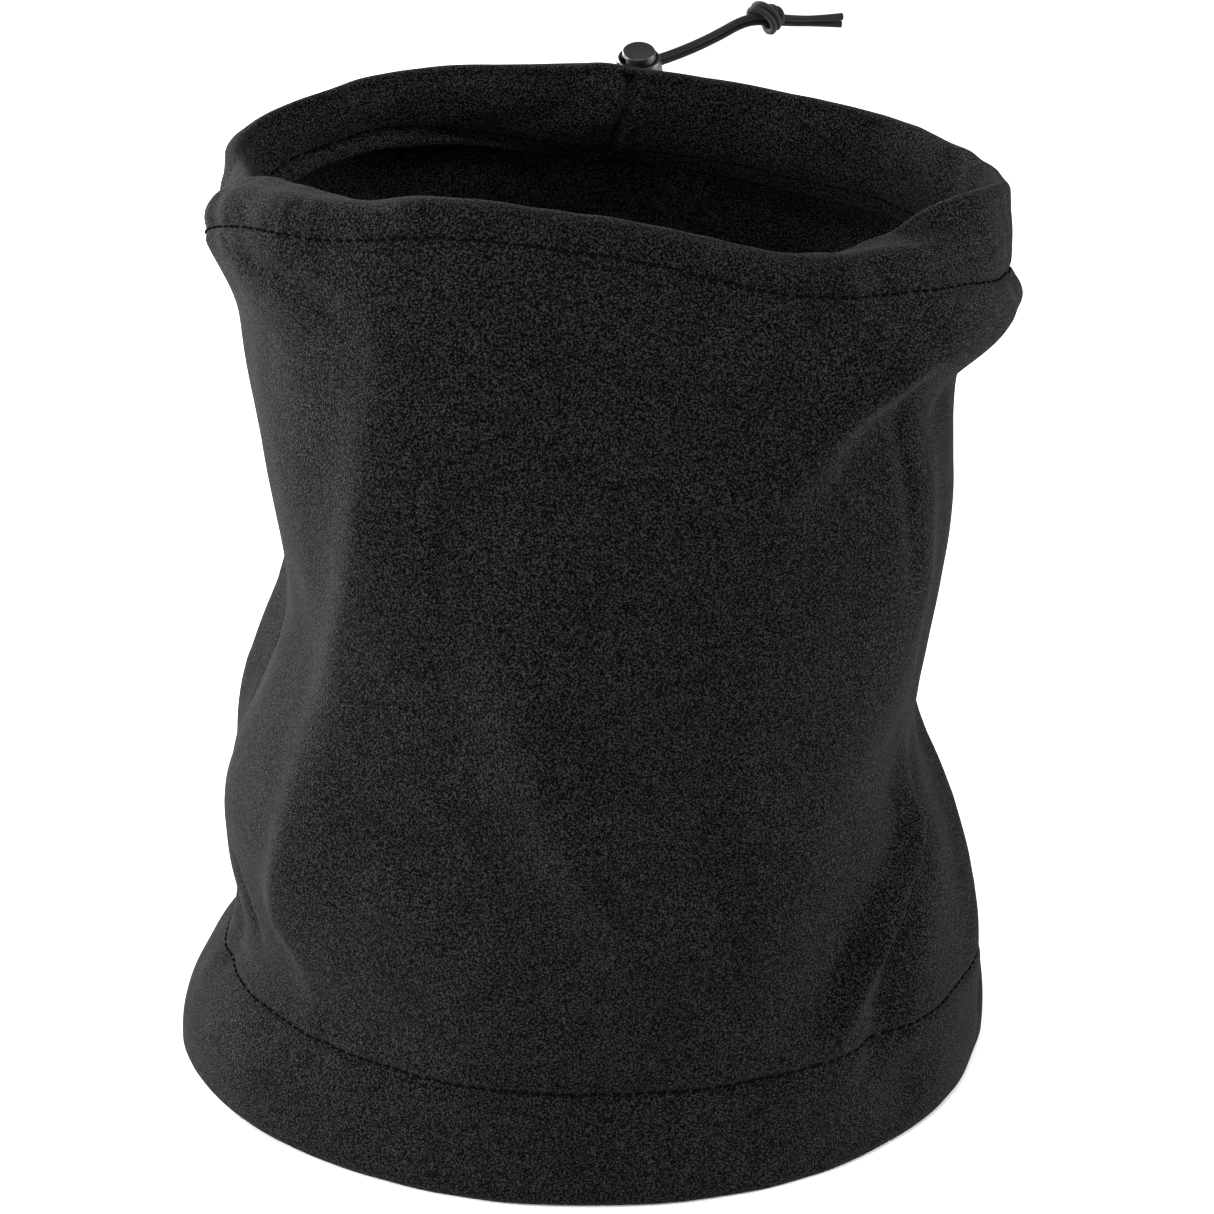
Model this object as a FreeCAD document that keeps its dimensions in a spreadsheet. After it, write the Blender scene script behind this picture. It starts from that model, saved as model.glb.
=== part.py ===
import FreeCAD
import Part

import math
import os

Vector = FreeCAD.Vector

# Neck gaiter: a fleece tube with a drawcord casing at the top, a hem at the
# bottom and a sprung cord lock on the two cord ends behind it.
# Millimetres, +Z up, +Y towards the back, origin at the centre of the hem's base.

doc = FreeCAD.newDocument("neck_gaiter")
sheet = doc.addObject("Spreadsheet::Sheet", "Dims")

DIMENSIONS = [
    ("base_half_width", 123.0),
    ("base_half_depth", 96.0),
    ("hem_half_width", 115.5),
    ("hem_half_depth", 95.5),
    ("low_half_width", 105.0),
    ("low_half_depth", 94.5),
    ("waist_half_width", 94.0),
    ("waist_half_depth", 92.0),
    ("high_half_width", 100.5),
    ("high_half_depth", 87.0),
    ("band_half_width", 110.0),
    ("band_half_depth", 81.0),
    ("rim_half_width", 111.0),
    ("rim_half_depth", 79.0),
    ("hem_height", 35.0),
    ("low_height", 85.0),
    ("waist_height", 148.0),
    ("high_height", 215.0),
    ("band_height", 253.0),
    ("rim_height", 282.0),
    ("fabric", 2.3),
    ("hem_layers", 4.6),
    ("casing_layers", 7.4),
    ("tunnel_inner", 5.2),
    ("cord_inset", 3.75),
    ("saddle_radius", 264.0),
    ("casing_depth", 22.0),
    ("cord_depth", 8.0),
    ("tunnel_top", 4.0),
    ("tunnel_foot", 18.0),
    ("rim_centre_height", 272.5),
    ("rim_tilt", 2.4),
    ("thread_size", 0.6),
    ("seam_position", 1.0),
    ("seam_width", 5.0),
    ("seam_depth", 5.6),
    ("gap_width", 14.0),
    ("gap_height", 5.4),
    ("gap_back", 73.8),
    ("gap_foot", 265.2),
    ("thread_inset", 1.5),
    ("bar_length", 7.0),
    ("bar_thickness", 1.4),
    ("bar_height", 1.6),
    ("bar_back", 79.9),
    ("bar_foot", 262.2),
    ("cord_size", 2.0),
    ("strand_spacing", 2.06),
    ("knot_ring", 3.1),
    ("knot_section", 2.3),
    ("lock_side", 11.43),
    ("lock_back", 94.1),
    ("lock_height", 271.84),
    ("lock_lean", 22.0),
    ("lock_turn", 25.0),
    ("cord_bend", 90.0),
    ("barrel_radius", 7.2),
    ("barrel_rim_radius", 6.2),
    ("barrel_foot_radius", 5.9),
    ("barrel_top", 3.2),
    ("barrel_shoulder", -1.8),
    ("barrel_skirt", -8.8),
    ("barrel_foot", -10.6),
    ("socket_radius", 5.5),
    ("socket_floor", -9.3),
    ("bore_gap", 0.45),
    ("button_radius", 5.2),
    ("button_crown_radius", 4.85),
    ("button_top", 5.6),
    ("button_taper_start", 2.4),
    ("button_foot", -5.3),
    ("button_travel", 2.0),
    ("slot_half_width", 1.5),
    ("slot_foot", -2.55),
    ("slot_top", 4.55),
    ("seat_radius", 3.9),
    ("seat_top", -4.0),
    ("spring_radius", 3.1),
    ("spring_wire", 0.6),
    ("spring_turns", 3.5),
]
for row, (alias, value) in enumerate(DIMENSIONS, start=1):
    sheet.set("A%d" % row, alias)
    sheet.set("B%d" % row, str(value))
    sheet.setAlias("B%d" % row, alias)
doc.recompute()


def dim(alias):
    return float(sheet.get(alias))


def bind(item, prop, formula):
    item.setExpression(prop, formula)


def done(item, label):
    item.Label = label
    doc.recompute()
    if "Invalid" in item.State or "Error" in item.State or item.Shape.isNull():
        raise RuntimeError(label)
    return item


# --- fleece tube -----------------------------------------------------------
LEVELS = ["base", "hem", "low", "waist", "high", "band", "rim"]


def ring(name, level, inset):
    item = doc.addObject("Part::Ellipse", name)
    item.Angle1 = 0
    item.Angle2 = 360
    bind(item, "MajorRadius", "Dims.%s_half_width - %s" % (level, inset))
    bind(item, "MinorRadius", "Dims.%s_half_depth - %s" % (level, inset))
    if level != "base":
        bind(item, "Placement.Base.z", "Dims.%s_height" % level)
    return item


def tube(name, inset):
    rings = [ring("%s_%s" % (name, level), level, inset) for level in LEVELS]
    doc.recompute()
    item = doc.addObject("Part::Loft", name)
    item.Sections = rings
    item.Solid = True
    item.Ruled = False
    return done(item, name)


def saddle(name, drop):
    item = doc.addObject("Part::Cylinder", name)
    bind(item, "Radius", "Dims.saddle_radius - %s" % drop)
    item.Height = 400
    turn = FreeCAD.Rotation(Vector(1, 0, 0), 90 + dim("rim_tilt"))
    item.Placement = FreeCAD.Placement(Vector(0, 0, 0), turn)
    doc.recompute()
    axis = turn.multVec(Vector(0, 0, 1))
    middle = Vector(0, 0, dim("rim_centre_height") - dim("saddle_radius"))
    item.Placement = FreeCAD.Placement(middle - axis * 200, turn)
    return done(item, name)


def cut(name, base, tool):
    item = doc.addObject("Part::Cut", name)
    item.Base = base
    item.Tool = tool
    return done(item, name)


def common(name, first, second):
    item = doc.addObject("Part::MultiCommon", name)
    item.Shapes = [first, second]
    return done(item, name)


def fuse(name, shapes):
    item = doc.addObject("Part::MultiFuse", name)
    item.Shapes = shapes
    return done(item, name)


def block(name, size, corner):
    item = doc.addObject("Part::Box", name)
    item.Length, item.Width, item.Height = size
    item.Placement.Base = corner
    return item


outer = tube("outer_face", "0")
inner = tube("inner_face", "Dims.fabric")
overlap = tube("overlap_face", "Dims.fabric + 0.4")
hem_face = tube("hem_face", "Dims.hem_layers")
casing_face = tube("casing_face", "Dims.casing_layers")
tunnel_face = tube("tunnel_face", "Dims.tunnel_inner")
seam_face = tube("seam_face", "Dims.seam_depth")
cord_face = tube("cord_face", "Dims.cord_inset")

rim = saddle("rim", "0")
casing_line = saddle("casing_line", "Dims.casing_depth")
tunnel_roof = saddle("tunnel_roof", "Dims.tunnel_top")
tunnel_floor = saddle("tunnel_floor", "Dims.tunnel_foot")
cord_line = saddle("cord_line", "Dims.cord_depth")

wall = common("wall", cut("wall_tube", outer, inner), rim)
hem_ring = cut("hem_ring", inner, hem_face)
hem_zone = block("hem_zone", (400, 400, 35), Vector(-200, -200, 0))
bind(hem_zone, "Height", "Dims.hem_height")
hem = common("hem", hem_ring, hem_zone)
casing_ring = cut("casing_ring", inner, casing_face)
casing_zone = cut("casing_zone", rim, casing_line)
casing = common("casing", casing_ring, casing_zone)
seam_ring = cut("seam_ring", inner, seam_face)
seam_zone = block("seam_zone", (5, 60, 218), Vector(0, 50, 34.5))
bind(seam_zone, "Length", "Dims.seam_width")
bind(seam_zone, "Placement.Base.x", "Dims.seam_position - Dims.seam_width / 2")
seam = common("seam", seam_ring, seam_zone)
cloth = fuse("cloth", [wall, hem, casing, seam])
tunnel_ring = cut("tunnel_ring", overlap, tunnel_face)
tunnel_zone = cut("tunnel_zone", tunnel_roof, tunnel_floor)
tunnel = common("tunnel", tunnel_ring, tunnel_zone)
hollow_cloth = cut("hollow_cloth", cloth, tunnel)
gap = block("gap", (14, 10, 5), Vector(0, 0, 0))
bind(gap, "Length", "Dims.gap_width")
bind(gap, "Height", "Dims.gap_height")
bind(gap, "Placement.Base.x", "Dims.seam_position - Dims.gap_width / 2")
bind(gap, "Placement.Base.y", "Dims.gap_back")
bind(gap, "Placement.Base.z", "Dims.gap_foot")
fleece = done(cut("fleece_panel", hollow_cloth, gap), "fleece_panel")


# --- threads ---------------------------------------------------------------
def eight_sided(radius, start, heading):
    circle = Part.Wire(Part.makeCircle(radius, start, heading))
    corners = circle.discretize(Number=9)
    return Part.makePolygon(corners)


def along(name, edges, radius, flat_sided=False):
    path = Part.Wire(Part.__sortEdges__(edges))
    first = path.OrderedEdges[0]
    start = first.valueAt(first.FirstParameter)
    heading = first.tangentAt(first.FirstParameter)
    section = Part.Wire(Part.makeCircle(radius, start, heading))
    if flat_sided:
        section = eight_sided(radius, start, heading)
    item = doc.addObject("Part::Feature", name)
    item.Shape = path.makePipeShell([section], True, False)
    return done(item, name)


def smooth(edges, closed=True, share=0.999, count=97):
    route = Part.Wire(Part.__sortEdges__(edges))
    points = route.discretize(Number=count)
    curve = Part.BSplineCurve()
    if closed:
        curve.interpolate(Points=points[:-1], PeriodicFlag=True)
    else:
        curve.interpolate(Points=points)
    first = curve.FirstParameter
    last = curve.LastParameter
    return [curve.toShape(first, first + (last - first) * share)]


def line_on(face, surface, share=0.999):
    return smooth(face.Shape.section(surface.Shape).Edges, True, share)


def level_line(face, height):
    return smooth(face.Shape.slice(Vector(0, 0, 1), height)[0].Edges)


thread = dim("thread_size") / 2
casing_outside = along("casing_needle_thread", line_on(outer, casing_line), thread, True)
casing_inside = along("casing_bobbin_thread", line_on(casing_face, saddle("inner_row", "20.5")), thread, True)
hem_outside = along("hem_needle_thread", level_line(outer, dim("hem_height") - dim("thread_inset")), thread, True)
hem_inside = along("hem_bobbin_thread", level_line(hem_face, dim("hem_height") - dim("thread_inset")), thread, True)


def seam_edges():
    x = dim("seam_position")
    corners = [Vector(x, 60, 42), Vector(x, 110, 42), Vector(x, 110, 247), Vector(x, 60, 247)]
    plane = Part.Face(Part.makePolygon(corners + corners[:1]))
    return smooth(seam_face.Shape.section(plane).Edges, False, 1.0, 14)


seam_thread = along("seam_overlock_thread", seam_edges(), thread, True)
bar = block("opening_bartack", (7, 1.4, 1.6), Vector(0, 0, 0))
bind(bar, "Length", "Dims.bar_length")
bind(bar, "Width", "Dims.bar_thickness")
bind(bar, "Height", "Dims.bar_height")
bind(bar, "Placement.Base.x", "Dims.seam_position - Dims.bar_length / 2")
bind(bar, "Placement.Base.y", "Dims.bar_back")
bind(bar, "Placement.Base.z", "Dims.bar_foot")
done(bar, "opening_bartack")

# --- lock frame: x along the cord, z along the button ------------------------
lean = math.radians(dim("lock_lean"))
turn = math.radians(dim("lock_turn"))
LOCK = Vector(dim("lock_side"), dim("lock_back"), dim("lock_height"))
UP = Vector(0, -math.sin(lean), math.cos(lean))
flat = Vector(math.cos(turn), math.sin(turn), 0)
ALONG = (flat - UP * flat.dot(UP)).normalize()
SIDE = UP.cross(ALONG)
BEND = dim("cord_bend")
frame = FreeCAD.Matrix(
    ALONG.x, SIDE.x, UP.x, LOCK.x,
    ALONG.y, SIDE.y, UP.y, LOCK.y,
    ALONG.z, SIDE.z, UP.z, LOCK.z,
    0, 0, 0, 1,
)
IN_LOCK = FreeCAD.Placement(frame)


def on_bend(run, radius=BEND):
    angle = run / BEND
    return LOCK + UP * BEND + (ALONG * math.sin(angle) - UP * math.cos(angle)) * radius


# --- drawcord in its casing --------------------------------------------------
CORD = dim("cord_size") / 2
cord_route = Part.Wire(line_on(cord_face, cord_line, 1.0))
gate = Part.makeBox(23.0, 30, 60, Vector(-12.0, 60, 240))
held_edges = smooth(cord_route.cut(gate).Edges, False, 1.0)
held = along("drawcord", held_edges, CORD)
ends = Part.Wire(Part.__sortEdges__(held_edges)).OrderedVertexes
end_points = sorted([ends[0].Point, ends[-1].Point], key=lambda point: point.x)
print("drawcord ends", end_points)
print("drawcord length", sum(edge.Length for edge in held_edges))


# --- free cord ends -----------------------------------------------------------
def cord(name, points):
    radii = []
    edges = []
    last = points[0]
    for before, corner, after in zip(points, points[1:], points[2:]):
        into = (corner - before).normalize()
        out = (after - corner).normalize()
        half = math.acos(max(-1.0, min(1.0, into.dot(out)))) / 2
        reach = 0.45 * min((corner - before).Length, (after - corner).Length)
        radius = reach / math.tan(half)
        radii.append(round(radius, 1))
        start = corner - into * reach
        finish = corner + out * reach
        centre = start + (out - into * into.dot(out)).normalize() * radius
        middle = centre + (corner - centre).normalize() * radius
        edges.append(Part.LineSegment(last, start).toShape())
        edges.append(Part.Arc(start, middle, finish).toShape())
        last = finish
    edges.append(Part.LineSegment(last, points[-1]).toShape())
    item = along(name, edges, CORD)
    length = sum(edge.Length for edge in edges)
    share = item.Shape.Volume / (math.pi * CORD * CORD * length)
    print(name, "radii", radii, "length %.1f" % length, "volume share %.3f" % share)
    return item


half_step = dim("strand_spacing") / 2
RUNS = [-1.0, 8.0, 17.0, 26.0, 35.0]
upper_points = [
    Vector(*end_points[0]),
    Vector(-4.6, 77.6, 268.3),
    LOCK - ALONG * 13.0 + UP * half_step,
]
upper_points += [on_bend(run, BEND - half_step) for run in RUNS]
upper_points += [Vector(49.2, 105.4, 284.5), Vector(56.8, 107.2, 283.2)]
upper_points += [Vector(64.7, 109.2, 282.7), Vector(72.8, 111.2, 282.9)]
lower_points = [
    Vector(*end_points[1]),
    Vector(6.1, 76.5, 267.2),
    Vector(2.2, 79.9, 266.9),
    Vector(1.0, 84.9, 267.4),
    LOCK - ALONG * 9.3 - UP * half_step,
]
lower_points += [on_bend(run, BEND + half_step) for run in RUNS]
lower_points += [Vector(49.2, 106.4, 282.4), Vector(56.8, 108.7, 281.4)]
lower_points += [Vector(64.7, 110.9, 280.8), Vector(72.6, 112.6, 280.3)]
upper = cord("cord_end_upper", upper_points)
lower = cord("cord_end_lower", lower_points)

knot = doc.addObject("Part::Torus", "cord_knot")
bind(knot, "Radius1", "Dims.knot_ring")
bind(knot, "Radius2", "Dims.knot_section")
knot_spin = FreeCAD.Rotation(Vector(0, 0, 1), Vector(0.94, 0.3, 0.0))
knot.Placement = FreeCAD.Placement(Vector(49.0, 105.9, 283.4), knot_spin)
done(knot, "cord_knot")


# --- cord lock ---------------------------------------------------------------
def drum(name, bottom, top, low_radius, high_radius):
    item = doc.addObject("Part::Cone", name)
    bind(item, "Radius1", low_radius)
    bind(item, "Radius2", high_radius)
    bind(item, "Height", "%s - %s" % (top, bottom))
    bind(item, "Placement.Base.z", bottom)
    doc.recompute()
    return item


def rod(name, bottom, top, radius):
    item = doc.addObject("Part::Cylinder", name)
    bind(item, "Radius", radius)
    bind(item, "Height", "%s - (%s)" % (top, bottom))
    bind(item, "Placement.Base.z", bottom)
    doc.recompute()
    return item


def bore_cutter():
    half_wide = CORD + dim("bore_gap")
    half_high = CORD + half_step + dim("bore_gap")
    rise = half_high - half_wide
    low = Vector(0, 0, -rise)
    high = Vector(0, 0, rise)
    side = Vector(0, half_wide, 0)
    tip = Vector(0, 0, half_wide)
    outline = [
        Part.LineSegment(low + side, high + side).toShape(),
        Part.Arc(high + side, high + tip, high - side).toShape(),
        Part.LineSegment(high - side, low - side).toShape(),
        Part.Arc(low - side, low - tip, low + side).toShape(),
    ]
    face = Part.Face(Part.Wire(outline))
    face.rotate(Vector(0, 0, BEND), Vector(0, -1, 0), -7)
    item = doc.addObject("Part::Feature", "bore_cutter")
    item.Shape = face.revolve(Vector(0, 0, BEND), Vector(0, -1, 0), 14)
    return done(item, "bore_cutter")


bore = bore_cutter()
shoulder = drum("shoulder", "Dims.barrel_shoulder", "Dims.barrel_top", "Dims.barrel_radius", "Dims.barrel_rim_radius")
trunk = rod("trunk", "Dims.barrel_skirt", "Dims.barrel_shoulder", "Dims.barrel_radius")
foot = drum("foot", "Dims.barrel_foot", "Dims.barrel_skirt", "Dims.barrel_foot_radius", "Dims.barrel_radius")
shell = fuse("barrel_shell", [shoulder, trunk, foot])
socket = rod("socket", "Dims.socket_floor", "Dims.barrel_top + 1", "Dims.socket_radius")
hollow_shell = cut("hollow_shell", shell, socket)
barrel = cut("lock_barrel", hollow_shell, bore)

stem = rod("stem", "Dims.button_foot", "Dims.button_taper_start", "Dims.button_radius")
crown = drum("crown", "Dims.button_taper_start", "Dims.button_top", "Dims.button_radius", "Dims.button_crown_radius")
plunger = fuse("plunger", [stem, crown])
slot = block("slot", (16, 3, 7.1), Vector(-8, -1.5, -2.55))
bind(slot, "Width", "Dims.slot_half_width * 2")
bind(slot, "Height", "Dims.slot_top - Dims.slot_foot")
seat = rod("seat", "Dims.button_foot - 1", "Dims.seat_top", "Dims.seat_radius")
slotted = cut("slotted", plunger, slot)
button = cut("lock_button", slotted, seat)

coil_low = dim("socket_floor") + dim("spring_wire") / 2 + 0.01
coil_high = dim("seat_top") - dim("spring_wire") / 2 - 0.05
pitch = (coil_high - coil_low) / dim("spring_turns")
helix = Part.makeHelix(pitch, coil_high - coil_low, dim("spring_radius"))
helix.translate(Vector(0, 0, coil_low))
wire_start = Vector(dim("spring_radius"), 0, coil_low)
wire_section = eight_sided(dim("spring_wire") / 2, wire_start, Vector(0, 1, 0))
spring = doc.addObject("Part::Feature", "lock_spring")
spring.Shape = Part.Wire(helix.Edges).makePipeShell([wire_section], True, True)
for piece in (barrel, button, spring):
    piece.Placement = IN_LOCK
    done(piece, piece.Label)

# --- export ------------------------------------------------------------------
NODES = [
    (fleece, "fleece_panel"),
    (casing_outside, "casing_needle_thread"),
    (casing_inside, "casing_bobbin_thread"),
    (hem_outside, "hem_needle_thread"),
    (hem_inside, "hem_bobbin_thread"),
    (seam_thread, "seam_overlock_thread"),
    (bar, "opening_bartack"),
    (held, "drawcord"),
    (upper, "cord_end_upper"),
    (lower, "cord_end_lower"),
    (knot, "cord_knot"),
    (barrel, "lock_barrel"),
    (button, "lock_button"),
    (spring, "lock_spring"),
]
os.makedirs("parts", exist_ok=True)
pivot = LOCK + UP * BEND
print("lock pivot", pivot, "axis", SIDE * -1, "up", UP, "along", ALONG)
for item, node in NODES:
    shape = item.Shape
    if not shape.isValid() or len(shape.Solids) != 1 or shape.Volume < 1:
        raise RuntimeError("%s: %d solids" % (node, len(shape.Solids)))
    shape.exportStep("parts/%s.step" % node)
    print(node, "volume %.1f" % shape.Volume)
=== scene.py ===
import bpy
import math
import numpy as np
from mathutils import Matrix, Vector


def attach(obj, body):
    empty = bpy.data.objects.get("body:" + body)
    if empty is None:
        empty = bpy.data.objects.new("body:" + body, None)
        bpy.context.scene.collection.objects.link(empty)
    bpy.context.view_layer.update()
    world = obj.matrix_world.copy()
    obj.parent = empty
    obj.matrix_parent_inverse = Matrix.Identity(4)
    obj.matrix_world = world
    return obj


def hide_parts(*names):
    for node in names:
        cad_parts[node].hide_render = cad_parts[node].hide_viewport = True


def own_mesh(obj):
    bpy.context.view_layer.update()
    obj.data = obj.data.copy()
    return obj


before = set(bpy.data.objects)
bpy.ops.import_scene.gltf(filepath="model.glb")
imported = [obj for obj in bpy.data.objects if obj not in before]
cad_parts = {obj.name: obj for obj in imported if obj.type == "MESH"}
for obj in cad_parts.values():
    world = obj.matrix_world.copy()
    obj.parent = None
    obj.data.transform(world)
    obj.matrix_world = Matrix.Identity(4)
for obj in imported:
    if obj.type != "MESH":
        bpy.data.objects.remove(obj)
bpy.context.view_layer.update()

MM = 0.001

# --- fleece -----------------------------------------------------------------------
# Lengths are in mm and angles in degrees. Round the tube, 0 is the front and 90 is +X.
FABRIC = 2.2
HEM = 34.5

# Half widths of the tube and the squareness of its section, as (height, value). A
# squareness of 2 is an ellipse, and more is squarer.
LEFT = [
    (0, 126), (12, 126), (25, 119.5), (36, 109), (50, 106.5), (66, 108.5), (86, 110),
    (105, 103.5), (120, 96.5), (135, 91), (150, 87), (165, 88), (180, 90.5), (198, 93.5),
    (215, 95.5), (225, 96), (235, 96.5), (245, 101.5), (255, 107), (275, 106),
]
RIGHT = [
    (0, 114), (12, 114.5), (25, 113.5), (45, 109.5), (66, 103), (86, 95.5), (100, 90),
    (115, 89), (135, 92), (150, 94.5), (165, 97), (180, 98), (198, 98), (212, 97.5),
    (220, 97.5), (226, 104), (231.5, 120), (238, 110), (246, 108), (255, 106.5), (275, 104),
]
SQUARENESS = [(0, 1.97), (50, 2.05), (110, 2.4), (200, 2.45), (250, 2.2), (290, 2.1)]
FRONT = [(0, 97.3), (35, 94), (90, 92), (150, 90.5), (215, 86), (250, 82), (275, 79)]
BACK = [(0, 94), (35, 93), (90, 91), (150, 89.5), (215, 86), (250, 82.5), (280, 80)]

# The band above the casing's stitch line, as (angle, value): the line's height, how
# far the band's upper part turns inwards, how deep the band is, and how far all of it
# leans inwards. A negative turn or lean is outwards.
STITCH = [
    (-180, 253), (-168, 254.8), (-156, 260), (-140, 261.5), (-126, 257.5), (-112, 251.5),
    (-95, 248.5), (-80, 252.5), (-68, 259.5), (-57, 263.5), (-48, 265), (-39, 265),
    (-30, 268), (-21, 270), (-13, 269.3), (-5, 267.3), (3, 265.6), (11, 262.5), (19, 257.5),
    (27, 254), (36, 252), (46, 251), (57, 249), (72, 244), (86, 240), (100, 239),
    (115, 240.5), (130, 242), (150, 245), (167, 249.3),
]
CURL = [
    (-180, -4), (-125, -6), (-108, 22), (-95, 46), (-80, 66), (-64, 84), (-50, 98),
    (-30, 112), (0, 116), (20, 116), (38, 108), (52, 80), (64, 34), (80, 2), (100, -4),
    (120, -4),
]
DEPTH = [
    (-180, 21.5), (-168, 20), (-156, 15), (-140, 12.5), (-126, 11.5), (-112, 14.5),
    (-96, 17.5), (-80, 20), (0, 22.5), (90, 22.5), (150, 22.5),
]
LEAN = [
    (-180, 2), (-150, 6), (-134, 6), (-124, -10), (-112, -34), (-100, -30), (-90, -12),
    (-84, -10), (-66, -4), (0, 4), (50, 0), (75, -4), (92, 6), (110, 6), (150, 4),
]


def bell(distance, width):
    return np.exp(-0.5 * (distance / width) ** 2)


def turn_from(angle, phi):
    """Turn from an angle to phi, between -180 and 180 degrees."""
    return (phi - angle + 180) % 360 - 180


def along_height(points, z):
    """Smoothed value at height z of a table of (height, value)."""
    table = np.linspace(-30, 310, 1361)
    values = np.interp(table, [p[0] for p in points], [p[1] for p in points])
    kernel = bell(np.arange(-60, 61), 18.0)
    values = np.convolve(np.pad(values, 60, "edge"), kernel / kernel.sum(), "valid")
    return np.interp(z, table, values)


def round_tube(points, phi, blur=3.0):
    """Smoothed value at angle phi of a table of (angle, value) that closes on itself."""
    table = np.arange(-180, 180, 0.5)
    known = sorted(points)
    angles = [known[-1][0] - 360] + [p[0] for p in known] + [known[0][0] + 360]
    heights = [known[-1][1]] + [p[1] for p in known] + [known[0][1]]
    values = np.interp(table, angles, heights)
    offsets = np.minimum(np.arange(720), 720 - np.arange(720)) * 0.5
    kernel = bell(offsets, blur)
    values = np.fft.irfft(np.fft.rfft(values) * np.fft.rfft(kernel / kernel.sum()), 720)
    return np.interp(phi, np.append(table, 180), np.append(values, values[0]))


# A fold is a stroke over the cloth: its points as (angle, height), how far it stands
# out, and its width on the two sides of the line.
FOLDS = [
    ([(-29, 268), (-29, 252), (-31, 228), (-33, 210), (-36, 187), (-41, 168), (-46, 152),
      (-49, 132), (-49, 114)], 5.6, 12, 24),
    ([(-50, 120), (-49, 100), (-49, 88), (-51, 71), (-48, 60), (-47, 45)], 4.4, 8, 20),
    ([(-60, 257), (-52, 254), (-44, 252), (-37, 247)], -2.2, 4, 6),
    ([(-84, 205), (-86, 175), (-84, 150), (-78, 130)], -3.5, 12, 10),
    ([(-105, 168), (-107, 138), (-105, 112), (-101, 90)], 7.5, 9, 13),
    ([(-91, 158), (-92, 138), (-91, 118), (-88, 102)], -3.5, 6, 6),
    ([(-98, 80), (-90, 66), (-82, 54), (-74, 44)], -3.6, 6, 6),
    ([(-74, 74), (-68, 62), (-64, 50)], -1.8, 4, 4),
    ([(-112, 72), (-108, 56), (-106, 44)], 3.5, 6, 8),
    ([(74, 243), (61, 242), (49, 239), (41, 234), (37, 225), (33, 216), (28, 207), (21, 201)], 5.4, 12, 8),
    ([(76, 232), (66, 224), (56, 212), (52, 198)], -1.3, 6, 9),
    ([(44, 238), (46, 222), (48, 208), (49, 195), (50, 182), (51, 166)], -1.8, 3.5, 4),
    ([(54, 226), (54, 205), (54, 185), (55, 155), (60, 125)], 3.2, 24, 8),
    ([(65, 114), (66, 98), (66, 90), (60, 82), (54, 77), (48, 69), (43, 58), (40, 48), (38, 40)], 5.2, 5, 4),
    ([(59, 114), (60, 98), (60, 90), (54, 82), (48, 77), (42, 69), (37, 58), (34, 48),
      (32, 40)], -3.4, 17, 4.5),
    ([(75, 112), (73, 98), (71, 87), (66, 78), (59, 71), (55, 63), (51, 54), (47, 44),
      (44, 33), (42, 24)], -7.0, 5.5, 10),
    ([(100, 116), (97, 96), (92, 76), (84, 56), (76, 36)], 4.6, 9, 12),
    ([(112, 114), (109, 102), (106, 88)], -3.5, 5, 5),
    ([(52, 30), (50, 18), (49, 4)], -2.6, 10, 10),
    ([(88, 30), (84, 22), (80, 12)], -2.2, 5, 5),
    ([(-17, 182), (-15, 155), (-8, 126), (0, 100), (5, 84), (7, 58)], 5.2, 13, 19),
    ([(16, 150), (18, 110), (22, 75)], -2.0, 8, 14),
    ([(-108, 240), (-128, 247), (-145, 252), (-162, 253)], 3.6, 3, 7),
    ([(-138, 248), (-142, 236), (-146, 215)], 3.2, 6, 6),
    ([(-154, 249), (-156, 232), (-156, 212)], -2.6, 5, 6),
    ([(-168, 250), (-170, 232), (-170, 205)], 2.6, 6, 5),
    ([(167, 248), (165, 236), (160, 220)], -1.8, 6, 8),
    ([(150, 246), (142, 205), (146, 150), (140, 95)], 3.0, 14, 12),
    ([(-152, 200), (-156, 180), (-148, 140), (-152, 80)], 2.6, 14, 14),
    ([(172, 200), (172, 180), (166, 120)], -2.2, 12, 12),
    ([(-128, 225), (-132, 190), (-124, 140)], -2.6, 12, 12),
    ([(122, 200), (126, 150), (118, 100), (122, 50)], 2.6, 12, 14),
    ([(-136, 90), (-130, 50), (-134, 18)], 2.6, 12, 12),
    ([(168, 80), (172, 45), (166, 15)], 2.4, 12, 12),
]
DEGREE = 1.75  # mm of cloth per degree, as the folds count it
BACK_DEGREE = 1.5  # the same at the seam


def stroke(phi, z, points, height, before, after):
    """How far one fold moves the cloth out, in mm, at each angle and height."""
    pieces = []
    steps = len(points) - 1
    for i, (a, b) in enumerate(zip(points, points[1:])):
        px, pz = turn_from(a[0], phi) * DEGREE, z - a[1]
        dx, dz = (b[0] - a[0]) * DEGREE, b[1] - a[1]
        size = math.hypot(dx, dz)
        t = np.clip((px * dx + pz * dz) / size ** 2, 0, 1)
        away = np.hypot(px - t * dx, pz - t * dz)
        lean = (pz * dx - px * dz) / size / (away + 0.3)
        width = before + (after - before) * (0.5 + 0.5 * np.clip(lean, -1, 1))
        ends = np.sin(np.pi * np.clip((i + t) / steps, 0, 1) * 0.94 + 0.03 * np.pi) ** 0.8
        pieces.append((away, ends * bell(away, 0.62 * width)))
    nearest = np.minimum.reduce([away for away, rise in pieces])
    shares = [np.exp((nearest - away) / 1.5) for away, rise in pieces]
    return height * sum(share * rise for share, (away, rise) in zip(shares, pieces)) / sum(shares)


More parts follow.
